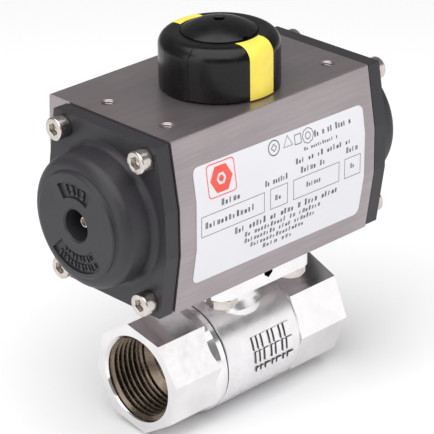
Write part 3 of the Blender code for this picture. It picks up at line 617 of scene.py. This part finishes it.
def greeking(x0, x1, z, height, count, blanks=()):
    """A line of small blocks that stands for a line of print."""
    step = (x1 - x0) / count
    blocks = []
    for k in range(count):
        if k in blanks:
            continue
        left = x0 + k * step
        top = z + height * (1.0, 0.72, 0.86, 0.72)[k % 4]
        wide = step * (0.62, 0.50, 0.34, 0.68, 0.56)[k % 5]
        if k % 3 == 0:
            blocks.append(rectangle(left, z, left + wide * 0.42, top))
            blocks.append(rectangle(left + wide * 0.58, z, left + wide, top))
        elif k % 3 == 1:
            blocks.append(rectangle(left, z, left + wide, z + height * 0.6))
        else:
            blocks.append(rectangle(left, z, left + wide * 0.8, top))
    return blocks


def outline_ring(centre, outer, inner, sides, start=0):
    """A regular ring of this many sides, in two halves."""
    half = (sides + 1) // 2
    turns = ((start, start + 360 * half / sides, half),
             (start + 360 * half / sides, start + 360, sides - half))
    return [arc(outer, low, high - 0.5, steps, centre) + arc(inner, high - 0.5, low, steps, centre)
            for low, high, steps in turns]


def build_rating_plate():
    """White vinyl plate with generic boxes, blocks and marks in place of the print."""
    low = 0.02 * MM
    top = 0.30 * MM
    ink = top + 0.03 * MM
    sheet = on_front("plate_sheet", [rounded(rectangle(*PLATE_SPAN), 2.6, 8)], low, top)
    piece(ease(sheet, 0), "housing", "white_vinyl", "rating_plate")

    marks = []
    marks += frame_of(-39.6, 65.0, -8.6, 72.8)
    marks += frame_of(-5.7, 65.0, 3.1, 73.0)
    marks += frame_of(6.0, 65.1, 30.0, 72.9)
    marks += frame_of(32.8, 65.1, 41.4, 72.9)
    marks += greeking(-29.8, -20.2, 74.4, 2.5, 5)
    marks += greeking(-8.3, 3.4, 74.6, 2.3, 9, (2,))
    marks += greeking(9.8, 23.0, 74.5, 2.4, 8, (5,))
    marks += greeking(33.6, 40.1, 75.0, 2.3, 4)
    marks += greeking(-37.6, -12.9, 67.8, 2.4, 13)
    marks += greeking(-3.2, 0.4, 67.9, 2.0, 2)
    marks += greeking(12.8, 20.6, 68.2, 2.0, 6)
    marks += greeking(36.0, 38.4, 68.4, 1.9, 2)
    marks += greeking(17.6, 37.0, 85.9, 2.4, 14, (2, 4, 7, 12))
    marks += greeking(11.9, 29.6, 82.4, 1.3, 15, (2, 13))
    marks += greeking(7.2, 36.4, 78.6, 2.1, 18, (3, 6, 9, 15))
    marks += greeking(-23.2, 29.8, 61.2, 2.5, 30, (3, 9, 12, 17, 19, 24))
    marks += greeking(-17.9, 21.3, 58.2, 2.0, 24, (2, 13, 16))
    marks += greeking(-17.6, 18.9, 55.5, 1.9, 23, (10, 15))
    marks += greeking(-14.2, 13.5, 52.9, 1.8, 17)
    marks += greeking(-7.5, 8.1, 50.2, 1.8, 8, (4,))
    marks += outline_ring((-2.8, 87.6), 2.9, 2.5, 24) + outline_ring((-2.8, 87.6), 1.5, 1.1, 4)
    marks += outline_ring((4.2, 87.6), 2.8, 2.4, 3, 90) + outline_ring((14.4, 87.4), 3.0, 2.7, 8)
    marks += frame_of(7.6, 85.6, 11.0, 89.4, 0.3) + outline_ring((14.4, 87.4), 1.4, 1.1, 24)
    print_marks = on_front("plate_marks", marks, top, ink)
    piece(ease(print_marks, 0), "housing", "white_vinyl", finishes=("ink",))

    outer = rounded(rectangle(-35.9, 78.2, -22.3, 90.4), 1.6, 5)
    inner = rounded(rectangle(-35.5, 78.6, -22.7, 90.0), 1.3, 5)
    half = len(outer) // 2
    emblem = [outer[:half + 1] + inner[:half + 1][::-1],
              outer[half:] + outer[:1] + inner[:1] + inner[half:][::-1]]
    emblem += outline_ring(EMBLEM, 5.4, 2.3, 6) + [arc(1.2, 0, 340, 17, EMBLEM)]
    emblem = on_front("plate_emblem", emblem, top, ink)
    piece(ease(emblem, 0), "housing", "white_vinyl", finishes=("red_ink",))


# ---- end caps ---------------------------------------------------------------------------------
def dome_profile():
    """The stepped face, its ledge and shoulder, the wall and the root fillet."""
    ledge = CAP_FACE - DOME_STEP
    lip, toe, shoulder, fillet = 0.8 * MM, 0.5 * MM, 4.2 * MM, 2.5 * MM
    root_r = DOME_R + fillet + 0.2 * MM
    points = [(0, CAP_FACE)]
    points += arc(lip, 90, 0, 6, (DOME_FACE_R + 0.2 * MM - lip, CAP_FACE - lip))
    points += arc(toe, 180, 270, 3, (DOME_FACE_R + 0.2 * MM + toe, ledge + toe))
    points += arc(shoulder, 90, 0, 14, (DOME_R - shoulder, ledge - shoulder))
    points += arc(fillet, 180, 262, 9, (root_r, CAP_OUT + fillet))
    return points + [(root_r, CAP_OUT - MM), (0, CAP_OUT - MM)]


def face_sector(name, inner, outer, middle, half, low, high):
    """A rounded arc-shaped prism on the cap's face, angles in degrees from +Y."""
    points = arc(outer, middle - half, middle + half, 24)
    points += arc(inner, middle + half, middle - half, 24)
    return prism(name, points, low, high, "YZ", Matrix.Translation(CENTRE))


def raised_marks(radius, height, middle, half, count, low, high):
    """Blocks in an arc that stand for cast lettering."""
    tools = []
    step = 2 * half / count
    for k in range(count):
        angle = middle - half + (k + 0.5) * step
        wide = step * (0.58, 0.34, 0.66, 0.46)[k % 4]
        tall = height * (1.0, 0.8, 0.9)[k % 3]
        low_r = radius - height / 2
        tools.append(face_sector("mark", low_r, low_r + tall * 0.42, angle, wide / 2, low, high))
        tools.append(face_sector("mark", low_r + tall * 0.36, low_r + tall, angle + step * 0.08,
                                 wide / (4 if k % 2 else 2.6), low, high))
    return tools


def cap_casting(name):
    """The far cap; the near one is the same casting turned half round."""
    cap = prism(name, body_outline(CAP_INSET, True), CAP_IN, CAP_OUT, "YZ")
    floor = CAP_FACE - RECESS_DEPTH
    recess = [(0, CAP_FACE + MM), (RECESS_R + 1.6 * MM, CAP_FACE + MM),
              (RECESS_R + 0.6 * MM, CAP_FACE), (RECESS_R, CAP_FACE - 0.6 * MM), (RECESS_R, floor),
              (2.8 * MM, floor), (2.8 * MM, CAP_IN - 5 * MM), (0, CAP_IN - 5 * MM)]
    join(cap, lathe("dome", dome_profile(), "X", CENTRE, 128),
         rod("spigot", BORE_R - 0.4 * MM, CAP_IN - 2.1 * MM, CAP_IN + MM, "X", CENTRE, 96))
    sink = CAP_FACE - 0.9 * MM
    tools = [lathe("recess", recess, "X", CENTRE, 64),
             lathe("hollow", [(10 * MM, 62.5 * MM), (20.5 * MM, 62.5 * MM), (20.5 * MM, 45 * MM),
                              (10 * MM, 45 * MM)], "X", CENTRE, 64, closed=True),
             face_sector("upper_pocket", 10.2 * MM, 15.8 * MM, 90, 34, sink, CAP_FACE + MM),
             face_sector("lower_pocket", 10.6 * MM, 17.6 * MM, -90, 46, sink, CAP_FACE + MM)]
    for y, z in four(*CAP_SCREW):
        tools.append(rod("screw_hole", 2.8 * MM, CAP_IN - MM, CAP_OUT + MM, "X",
                         (0, y, BORE_Z + z), 32))
    cut(cap, *tools)
    proud = CAP_FACE - 0.25 * MM
    marks = raised_marks(13.0 * MM, 3.6 * MM, 90, 24, 4, sink - 0.3 * MM, proud)
    marks += raised_marks(15.6 * MM, 2.3 * MM, -90, 38, 11, sink - 0.3 * MM, proud)
    marks += raised_marks(12.5 * MM, 2.0 * MM, -90, 36, 8, sink - 0.3 * MM, proud)
    join(cap, *marks)
    return cap


def hex_head_screw(name, top, axis, centre):
    """M5 socket head cap screw; the axis points out of the head."""
    seat = CAP_OUT + 0.2 * MM
    head_r, shank_r, tip = 4.25 * MM, 2.5 * MM, seat - 18 * MM
    profile = [(0, top)] + arc(0.55 * MM, 90, 0, 4, (head_r - 0.55 * MM, top - 0.55 * MM))
    profile += [(head_r, seat), (shank_r, seat), (shank_r, tip + 0.5 * MM),
                (shank_r - 0.5 * MM, tip), (0, tip)]
    screw = lathe(name, profile, axis, centre, 64)
    socket = [(0, top + MM), (2.9 * MM, top + MM), (2.31 * MM, top - 0.2 * MM),
              (2.31 * MM, top - 2.4 * MM), (0, top - 3.2 * MM)]
    return cut(screw, lathe("socket", socket, axis, centre, 6))


def build_end_cap(side, axis):
    name = "near" if side < 0 else "far"
    turn = HALF_TURN if side < 0 else Matrix()
    cap = cap_casting(f"end_cap_{name}_casting")
    cap.data.transform(turn)
    # The cap's broken edges take a lighter powder colour, a painted highlight.
    piece(ease(cap, 0.32 * MM, 38, 2, highlight_edges=True), "housing", "powder_coat", f"end_cap_{name}",
          finishes=("powder_coat", "powder_painted_highlight"))

    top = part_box(f"cap_screw_{name}_1")[0 if side < 0 else 1].x * side
    for number, (y, z) in enumerate(four(*CAP_SCREW), 1):
        screw = hex_head_screw(f"cap_screw_{name}_{number}_bolt", top, axis,
                               (0, y, BORE_Z + z))
        piece(ease(screw, 0.08 * MM), "housing", "stainless", f"cap_screw_{name}_{number}")

    tip, end = 47.6 * MM, 66.3 * MM
    profile = [(0, end), (1.9 * MM, end), (2.5 * MM, end - 0.6 * MM), (2.5 * MM, tip + 0.5 * MM),
               (2.0 * MM, tip), (0, tip)]
    adjuster = lathe(f"stroke_adjuster_{name}_screw", profile, axis, CENTRE, 48)
    cut(adjuster, rod("key_socket", 1.5 * MM, end - 2 * MM, end + MM, axis, CENTRE, 6))
    piece(ease(adjuster, 0.05 * MM), f"adjuster_{name}", "stainless", f"stroke_adjuster_{name}")

    nut_low, nut_high = CAP_FACE - 9.7 * MM, CAP_FACE - 7.0 * MM
    nut = rod(f"adjuster_nut_{name}_hex", 4.62 * MM, nut_low, nut_high, axis, CENTRE, 6)
    cone = [(0, nut_high + 0.01 * MM), (3.9 * MM, nut_high + 0.01 * MM), (5.6 * MM, nut_low + MM),
            (5.6 * MM, nut_low - MM), (0, nut_low - MM)]
    combine(nut, "INTERSECT", lathe("nut_cone", cone, axis, CENTRE, 48))
    cut(nut, rod("nut_bore", 2.8 * MM, nut_low - MM, nut_high + MM, axis, CENTRE, 32))
    piece(ease(nut, 0.05 * MM), "housing", "black_steel", f"adjuster_nut_{name}")


# ---- position indicator ------------------------------------------------------------------------
def puck_skin(inward=0.0, steps=16):
    """Outer skin of the puck, from the flat ring over the shoulder to the wall."""
    return arc(SHOULDER - inward, 90, 0, steps, (PUCK_R - SHOULDER, PUCK_RING_Z - SHOULDER))


def band(name, angle, grow, outward=0.0):
    """A strip of the puck's skin: over the ring, the shoulder and the wall, at one angle."""
    skin, inner = puck_skin(-outward), puck_skin(BAND_DEPTH + grow)
    low = PUCK_BASE - (MM if outward else 0)
    profile = [(BAND_INNER - grow, skin[0][1])] + skin + [(skin[-1][0], low), (inner[-1][0], low)]
    profile += inner[::-1] + [(BAND_INNER - grow, inner[0][1])]
    strip = lathe(name, profile, steps=192, closed=True)
    half = BAND_HALF + grow
    keep = box(name + "_width", (10 * MM, -half, 100 * MM), (30 * MM, half, 130 * MM))
    keep.data.transform(Matrix.Rotation(angle, 4, "Z"))
    return combine(strip, "INTERSECT", keep)


def build_indicator():
    floor = PUCK_RING_Z - 2.6 * MM
    under = PUCK_RING_Z - 5.6 * MM
    profile = [(PLUG_R + GAP, PUCK_RING_Z)] + puck_skin()
    profile += [(PUCK_R, PUCK_BASE + 0.4 * MM), (PUCK_R - 0.4 * MM, PUCK_BASE),
                (PUCK_R - 4.8 * MM, PUCK_BASE), (PUCK_R - 4.8 * MM, under), (15.5 * MM, under),
                (15.5 * MM, PUCK_BASE + 4 * MM), (14.2 * MM, PUCK_BASE + 2.8 * MM),
                (14.2 * MM, PUCK_BASE), (13.5 * MM, PUCK_BASE), (13.5 * MM, PUCK_BASE + 3.2 * MM),
                (7.3 * MM, PUCK_BASE + 3.2 * MM), (7.3 * MM, 116.4 * MM), (2.8 * MM, 116.4 * MM),
                (2.8 * MM, PUCK_RING_Z - 4.5 * MM), (5 * MM, PUCK_RING_Z - 4.5 * MM),
                (5 * MM, floor), (PLUG_R + GAP, floor)]
    puck = lathe("indicator_puck", profile, steps=160, closed=True)
    bands = (("yellow_front", -90, "yellow_plastic"), ("yellow_back", 90, "yellow_plastic"),
             ("black_near", 180, "black_plastic"), ("black_far", 0, "black_plastic"))
    cut(puck, *(band("slot", math.radians(angle), 0.12 * MM, 2 * MM) for _, angle, _ in bands))
    piece(ease(puck, 0.18 * MM, 42), "rotor", "black_plastic", "indicator_cap")
    for name, angle, slot in bands:
        insert = band(f"insert_{name}_strip", math.radians(angle), 0.0)
        piece(ease(insert, 0.18 * MM, 42), "rotor", slot, f"indicator_insert_{name}")

    sphere = (PLUG_R ** 2 + PLUG_RISE ** 2) / 2 / PLUG_RISE
    rim = PUCK_RING_Z + 0.3 * MM
    reach, hole = math.degrees(math.asin(PLUG_R / sphere)), 1.9 * MM
    hole_at = math.degrees(math.asin(hole / sphere))
    crown = arc(sphere, 90 - hole_at, 90 - reach, 24, (0, rim + PLUG_RISE - sphere))
    floor_z = crown[0][1] - 3 * MM
    profile = [(0, floor_z), (hole, floor_z), (hole, crown[0][1] - 0.3 * MM)]
    profile += [(hole + 0.3 * MM, crown[1][1])] + crown[2:]
    profile += [(PLUG_R, floor + GAP), (0, floor + GAP)]
    plug = lathe("indicator_dome_plug", profile, steps=160)
    notch = rounded(rectangle(-1.3 * MM, -15 * MM, 1.3 * MM, -12.8 * MM), 0.5 * MM, 4)
    cut(plug, prism("pry_notch", notch, PUCK_RING_Z - MM, PUCK_RING_Z + 3 * MM))
    piece(ease(plug, 0.22 * MM, 42, 3), "rotor", "black_plastic", "indicator_plug")


# ---- ball valve -----------------------------------------------------------------------------------
def pipe_bore(name, axis, face):
    """Tapped mouth and port of one pipe end, from the face inwards."""
    deeper = [(PORT_BORE_R, THREAD_DEPTH + 2 * MM), (PORT_BORE_R, PIPE_HALF - 10 * MM),
              (0, PIPE_HALF - 10 * MM)]
    return tapped_hole(name, G1, THREAD_DEPTH, axis, (face, 0, 0), 96, deeper)


def by_place(obj, pick):
    """Choose each face's finish by where the face is and which way it looks."""
    for face in obj.data.polygons:
        face.material_index = pick(face.center, face.normal)
    return obj


MARK_RISE = 0.6 * MM


def barrel_marks():
    """Raised blocks round the barrel in place of the cast lettering."""
    tools = []
    rows = ((18.5, 5.2, -5.0), (3.8, 4.7, -4.6), (-9.6, 2.0, -4.0))
    spans = ((0.0, 1.3), (2.3, 3.5), (4.7, 7.2), (8.4, 9.6), (10.6, 13.0), (14.2, 15.4),
             (16.4, 19.4))
    for middle, height, start in rows:
        half = math.degrees(height * MM / BARREL_R) / 2
        points = arc(BARREL_R + MARK_RISE, middle - half, middle + half, 6)
        points += arc(BARREL_R - MARK_RISE, middle + half, middle - half, 6)
        points = [(-u, v) for u, v in points]
        for x0, x1 in spans:
            tools.append(prism("cast_mark", points, (start + x0) * MM, (start + x1) * MM, "YZ"))
    return tools


def build_valve_body():
    barrel = [(0, 23 * MM), (19.6 * MM, 23 * MM)]
    barrel += arc(2.4 * MM, 62, 0, 6, (BARREL_R - 2.4 * MM, 18.2 * MM))
    barrel += [(BARREL_R, JOINT_X + 0.3 * MM), (BARREL_R - 0.3 * MM, JOINT_X), (0, JOINT_X)]
    body = lathe("valve_body_casting", barrel, "X", steps=144)
    octagon = rod("octagon", FAR_OCTAGON_R, 20 * MM, PIPE_HALF, "X", steps=8)
    neck = [(0, PAD_BASE + MM), (NECK_R, PAD_BASE + MM)]
    neck += [(NECK_R, 22.5 * MM), (NECK_R + 0.5 * MM, 20.6 * MM), (NECK_R + 1.8 * MM, 18.6 * MM),
             (NECK_R + 1.8 * MM, 16 * MM), (0, 16 * MM)]
    corners = [(PAD_HALF, PAD_HALF), (-PAD_HALF, PAD_HALF), (-PAD_HALF, -PAD_HALF),
               (PAD_HALF, -PAD_HALF)]
    pad = prism("pad", rounded(corners, PAD_CORNER, 12), PAD_BASE, PAD_TOP)
    join(body, octagon, lathe("neck", neck), pad, *barrel_marks())
    cavity = [(0, 17.8 * MM), (SEAT_R, 17.8 * MM), (SEAT_R, 9.5 * MM), (CAVITY_R, 9.5 * MM),
              (CAVITY_R, JOINT_X - 2 * MM), (0, JOINT_X - 2 * MM)]
    stem_bore = [(0, PAD_TOP + MM), (9.5 * MM, PAD_TOP + MM), (9.5 * MM, 26 * MM),
                 (6.7 * MM, 26 * MM), (6.7 * MM, 23 * MM), (8.3 * MM, 23 * MM),
                 (8.3 * MM, 10 * MM), (0, 10 * MM)]
    slot = [(-2.1 * MM, PAD_TOP + MM), (-2.1 * MM, PAD_TOP - 2.2 * MM), (0, PAD_TOP - 3.8 * MM),
            (2.1 * MM, PAD_TOP - 2.2 * MM), (2.1 * MM, PAD_TOP + MM)]
    tools = [lathe("cavity", cavity, "X"), pipe_bore("far_bore", "-X", PIPE_HALF),
             lathe("stem_bore", stem_bore),
             prism("pad_slot", slot, 12 * MM, 30 * MM, "YZ",
                   Matrix.Rotation(-math.pi / 2, 4, "Z"))]
    for x, y in four(BOLT, BOLT):
        tools.append(rod("pad_hole", 3.3 * MM, PAD_BASE - MM, PAD_TOP + MM, centre=(x, y, 0)))
    cut(body, *tools)

    def pick(at, normal):
        outward = Vector((0, at.y, at.z))
        if 0 < at.x < PIPE_HALF - MM and outward.length < G1[1]:
            return 2
        # Side walls of the raised barrel marks take a darker colour, painted shade that makes the
        # marks show as dark strokes.
        if at.x < 19 * MM and at.y < 0 and abs(at.z) < 12 * MM:
            if outward.length > BARREL_R + 0.1 * MM and outward.normalized().dot(normal) < 0.9:
                return 3
        return int(-18.5 * MM < at.x < 21 * MM and at.z < PAD_BASE)

    piece(by_place(ease(body, 0.3 * MM, 32, 3), pick), "housing", "plated_brass", "valve_body",
          finishes=("plated_brass", "cast_nickel", "thread_nickel", "mark_painted_shade"))


def build_connector():
    """Screwed-in pipe end: an octagon, a chamfered collar and the spigot that holds a seat."""
    connector = rod("valve_end_hex_connector", NEAR_OCTAGON_R, 21.5 * MM, PIPE_HALF, "-X", steps=8)
    connector.data.transform(Matrix.Rotation(math.radians(-10.5), 4, "X"))
    spigot = CAVITY_R - GAP
    collar = [(0, 24.5 * MM), (19.4 * MM, 24.2 * MM), (BARREL_R, 21.2 * MM),
              (BARREL_R, -SHOULDER_X), (spigot, -SHOULDER_X), (spigot, 9.5 * MM),
              (SEAT_R, 9.5 * MM), (SEAT_R, 17.8 * MM), (0, 17.8 * MM)]
    join(connector, lathe("collar", collar, "-X", steps=144))
    cut(connector, pipe_bore("near_bore", "X", -PIPE_HALF))

    def pick(at, normal):
        return int(math.hypot(at.y, at.z) < G1[1] and at.x > MM - PIPE_HALF)

    piece(by_place(ease(connector, 0.3 * MM, 32, 3), pick), "housing", "plated_brass",
          "valve_end_connector", finishes=("plated_brass", "thread_nickel"))
    seal = lathe("joint_seal_ring", [(19.6 * MM, 18.4 * MM), (21.2 * MM, 18.4 * MM),
                                     (21.2 * MM, 18.65 * MM), (19.6 * MM, 18.65 * MM)],
                 "-X", steps=128, closed=True)
    piece(ease(seal, 0), "housing", "ptfe", "connector_seal", finishes=("gasket_rubber",))


def build_trim():
    """Seats, ball and mounting bolts."""
    reach, inner, outer = BALL_R + GAP, 12.8 * MM, 17.2 * MM
    for name, axis in (("near", "-X"), ("far", "X")):
        radii = [outer + (inner - outer) * k / 8 for k in range(9)]
        face = [(r, math.sqrt(reach ** 2 - r ** 2)) for r in radii]
        seat = lathe(f"seat_{name}_ring", [(outer, 17.5 * MM)] + face + [(inner, 17.5 * MM)],
                     axis, steps=128, closed=True)
        piece(ease(seat, 0), "housing", "ptfe", f"seat_{name}")

    ball = lathe("polished_ball", [(0, -BALL_R)] + arc(BALL_R, -86, 86, 60) + [(0, BALL_R)], "Y",
                 steps=128)
    cut(ball, rod("ball_port", PORT_BORE_R, -30 * MM, 30 * MM, "Y", steps=96),
        box("ball_slot", (-6.8 * MM, -2.8 * MM, 14.6 * MM), (6.8 * MM, 2.8 * MM, 20 * MM)))
    piece(ease(ball, 0.3 * MM), "rotor", "chrome_ball", "ball")

    seat_z, head_h, across = PAD_BASE - GAP, 4 * MM, 10 * MM
    corner = across / math.sqrt(3)
    for number, (x, y) in enumerate(four(BOLT, BOLT), 1):
        bolt = rod(f"mounting_bolt_{number}_hex", corner, seat_z - head_h, seat_z - 0.4 * MM,
                   centre=(x, y, 0), steps=6)
        spin = Matrix.Translation((x, y, 0)) @ Matrix.Rotation(math.radians(15), 4, "Z")
        bolt.data.transform(spin @ Matrix.Translation((-x, -y, 0)))
        crown = [(0, seat_z - head_h - 0.01 * MM), (4.7 * MM, seat_z - head_h - 0.01 * MM),
                 (6.6 * MM, seat_z - head_h + 1.1 * MM), (6.6 * MM, seat_z), (0, seat_z)]
        combine(bolt, "INTERSECT", lathe("crown", crown, centre=(x, y, 0), steps=64))
        join(bolt, rod("washer_face", 4.6 * MM, seat_z - 0.9 * MM, seat_z, centre=(x, y, 0)),
             rod("shank", 3.0 * MM, seat_z - MM, 47 * MM, centre=(x, y, 0)))
        piece(ease(bolt, 0.1 * MM), "housing", "stainless", f"mounting_bolt_{number}")


# ---- stage ---------------------------------------------------------------------------------------
def build_camera():
    """The photograph's viewing angle: from the near cap's side and the rating plate's side."""
    azimuth, elevation, roll = math.radians(-44.03), math.radians(25.32), math.radians(-0.82)
    back = Vector((math.sin(azimuth) * math.cos(elevation),
                   -math.cos(azimuth) * math.cos(elevation), math.sin(elevation)))
    right = (-back).cross(Vector((0, 0, 1))).normalized()
    up = right.cross(-back)
    side = right * math.cos(roll) + up * math.sin(roll)
    top = up * math.cos(roll) - right * math.sin(roll)
    camera = bpy.data.cameras.new("camera")
    camera.lens = 191.4
    camera.sensor_width = 36.0
    obj = bpy.data.objects.new("camera", camera)
    bpy.context.scene.collection.objects.link(obj)
    target = Vector((0, 0, BODY_TOP))
    place = target + back * 0.82464 - side * 0.00103 - top * 0.04808
    turn = Matrix((side, top, back)).transposed().to_4x4()
    obj.matrix_world = Matrix.Translation(place) @ turn
    bpy.context.scene.camera = obj


def softbox(name, place, size, radiance, target=(0, 0, 0.05)):
    """A rectangular area light, as bright as a white wall of this radiance."""
    light = bpy.data.lights.new(name, "AREA")
    light.shape = "RECTANGLE"
    light.size, light.size_y = size
    light.energy = radiance * math.pi * size[0] * size[1]
    obj = bpy.data.objects.new(name, light)
    bpy.context.scene.collection.objects.link(obj)
    obj.location = place
    obj.rotation_euler = (Vector(target) - Vector(place)).to_track_quat("-Z", "Y").to_euler()


def build_stage():
    floor = prism("floor", arc(4.0, 0, 352.5, 47), FLOOR_Z - 0.02, FLOOR_Z)
    paint = Finish("pale_floor", (250, 250, 251), 0.85)
    paint.tint(paint.noise(0.4, 3), 0.995, 1.0)
    floor.data.materials.append(paint.material)
    world = bpy.data.worlds.new("studio")
    world.use_nodes = True
    world.node_tree.nodes["Background"].inputs["Color"].default_value = (1, 1, 1, 1)
    world.node_tree.nodes["Background"].inputs["Strength"].default_value = 0.25
    bpy.context.scene.world = world
    softbox("overhead", (-0.30, -0.25, 1.2), (1.9, 1.9), 2.4)
    softbox("left_wall", (-1.0, 0.05, 0.35), (0.7, 0.6), 1.8)
    softbox("front_wall", (0.80, -0.92, 0.28), (0.8, 0.66), 1.0, (0, 0, 0))
    bpy.context.scene.view_settings.view_transform = "Standard"


build_camera()
build_stage()
dress_cad_nodes()
build_body()
build_rating_plate()
build_end_cap(-1, "-X")
build_end_cap(1, "X")
build_indicator()
build_valve_body()
build_connector()
build_trim()
